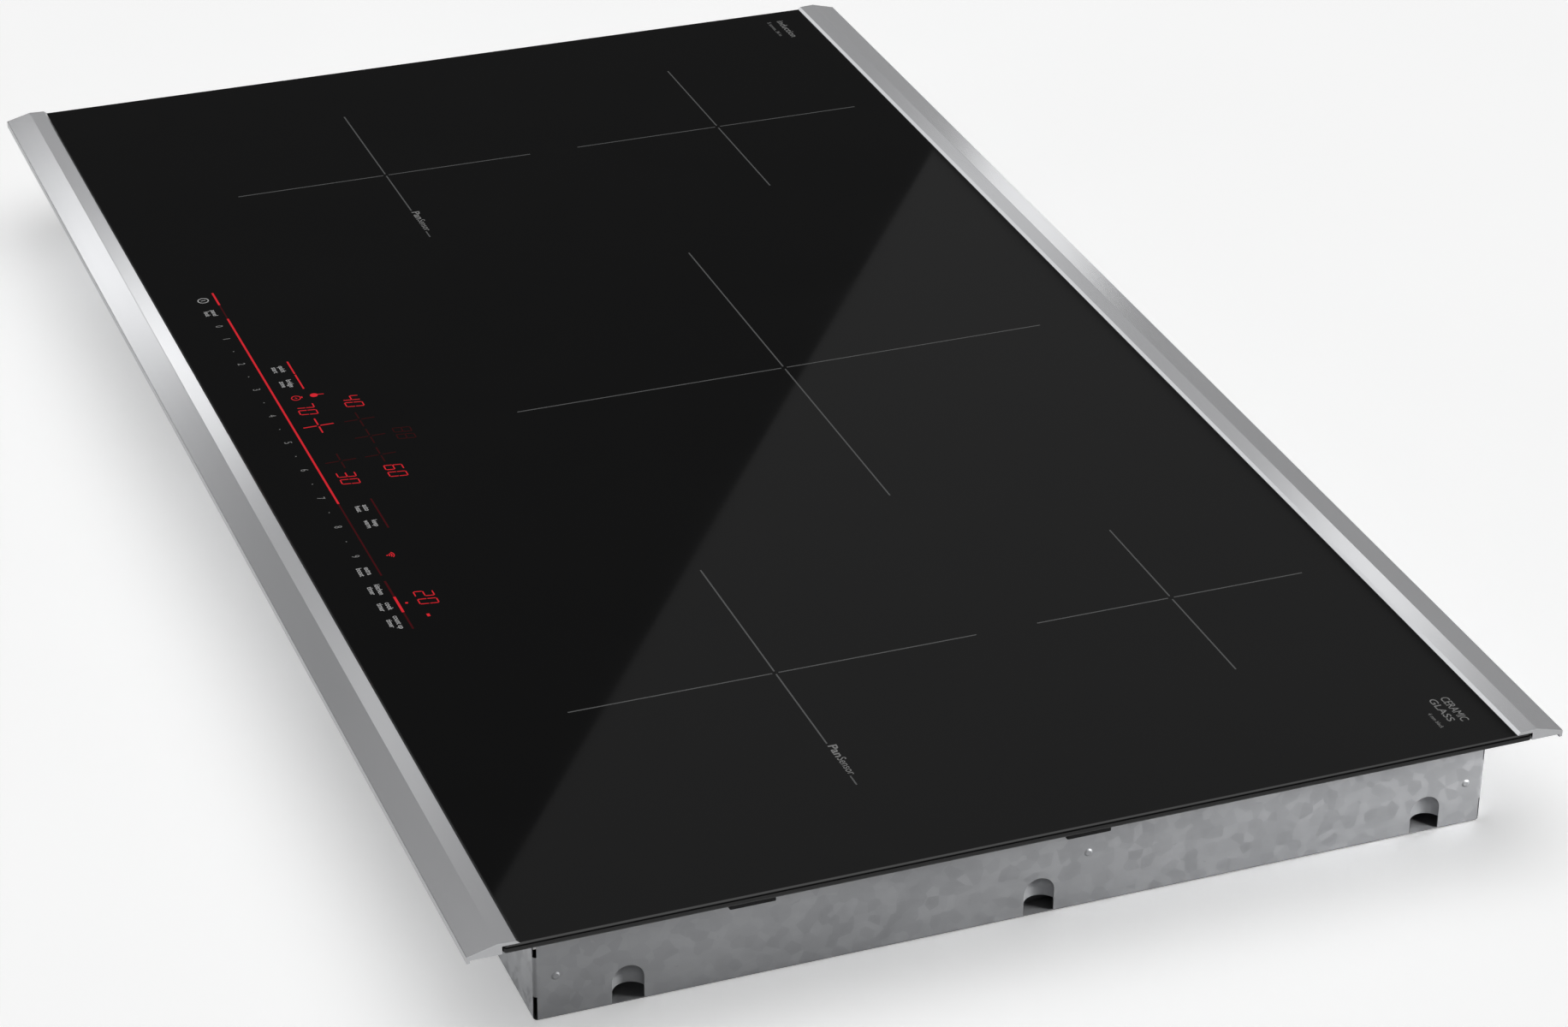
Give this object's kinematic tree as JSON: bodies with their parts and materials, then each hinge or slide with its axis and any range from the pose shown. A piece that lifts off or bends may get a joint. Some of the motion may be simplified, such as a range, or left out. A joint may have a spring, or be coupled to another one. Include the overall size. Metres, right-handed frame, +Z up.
{
  "type": "induction cooktop",
  "caption": "Wide built-in induction cooktop: black glass-ceramic sheet between brushed metal trims, over a shallow galvanised tray with coils, power modules and cooling fans.",
  "frame": {"origin": "centre of the footprint, on the underside of the base tray", "axes": "+X to the user's right, +Y to the rear, +Z up; the user stands on the -Y side and the worktop surface is the plane Z = 59.5 mm"},
  "size_m": [0.9398, 0.5412, 0.0673],
  "materials": {
    "black_glass": "polished black glass-ceramic with ground edges",
    "brushed_trim": "fine brushed, satin",
    "black_foam": "closed-cell foam",
    "clear_silicone": "cured bead",
    "galvanised_sheet": "hot-dip galvanised, faint spangle",
    "zinc_screw": "zinc plated",
    "coil_plastic": "moulded",
    "litz_copper": "enamelled strands",
    "mica": "pressed mica sheet",
    "ferrite": "sintered",
    "probe_ceramic": "unglazed",
    "lead_sleeve": "braided sleeve",
    "aluminium_sheet": "mill finish",
    "module_plastic": "moulded, fine texture",
    "circuit_board": "solder mask",
    "aluminium_fins": "extruded",
    "component_body": "moulded cases",
    "motor_steel": "plated",
    "impeller_plastic": "moulded",
    "display_red": "tinted lens"
  },
  "bodies": {
    "cooktop": {"air_guide_left": "module_plastic", "air_guide_right": "module_plastic", "base_tray": "galvanised_sheet", "board_screws": "zinc_screw", "cable_bushing": "module_plastic", "coil_carrier_centre": "coil_plastic", "coil_carrier_left_front": "coil_plastic", "coil_carrier_left_rear": "coil_plastic", "coil_carrier_right_front": "coil_plastic", "coil_carrier_right_rear": "coil_plastic", "coil_leads": "lead_sleeve", "coil_plate_centre": "aluminium_sheet", "coil_plate_left": "aluminium_sheet", "coil_plate_right": "aluminium_sheet", "coil_springs": "zinc_screw", "coil_winding_centre": "litz_copper", "coil_winding_left_front": "litz_copper", "coil_winding_left_rear": "litz_copper", "coil_winding_right_front": "litz_copper", "coil_winding_right_rear": "litz_copper", "control_board": "circuit_board", "control_carrier": "module_plastic", "display_modules": "display_red", "edge_pads": "black_foam", "fan_housing_left": "module_plastic", "fan_housing_right": "module_plastic", "fan_motor_left": "motor_steel", "fan_motor_right": "motor_steel", "ferrite_bars": "ferrite", "filter_board": "circuit_board", "filter_components": "component_body", "filter_supports": "module_plastic", "front_trim": "brushed_trim", "glass_ceramic_top": "black_glass", "heatsink_left": "aluminium_fins", "heatsink_right": "aluminium_fins", "mica_disc_centre": "mica", "mica_disc_left_front": "mica", "mica_disc_left_rear": "mica", "mica_disc_right_front": "mica", "mica_disc_right_rear": "mica", "module_carrier_left": "module_plastic", "module_carrier_right": "module_plastic", "mounting_frame": "galvanised_sheet", "plate_posts": "zinc_screw", "plate_screws": "zinc_screw", "power_board_left": "circuit_board", "power_board_right": "circuit_board", "power_components_left": "component_body", "power_components_right": "component_body", "rear_trim": "brushed_trim", "silicone_bond": "clear_silicone", "temperature_sensors": "probe_ceramic", "terminal_block": "probe_ceramic", "terminal_box": "galvanised_sheet", "terminal_box_lid": "galvanised_sheet", "tray_screws": "zinc_screw", "worktop_gasket": "black_foam"},
    "fan_left": {"fan_impeller_left": "impeller_plastic"},
    "fan_right": {"fan_impeller_right": "impeller_plastic"}
  },
  "joints": [
    {"name": "fan_left_spin", "type": "hinge", "parent": "cooktop", "child": "fan_left", "pos_m": [-0.25, 0.178, 0.02], "axis": [0, 0, 1], "continuous": true},
    {"name": "fan_right_spin", "type": "hinge", "parent": "cooktop", "child": "fan_right", "pos_m": [0.25, 0.178, 0.02], "axis": [0, 0, 1], "continuous": true}
  ]
}
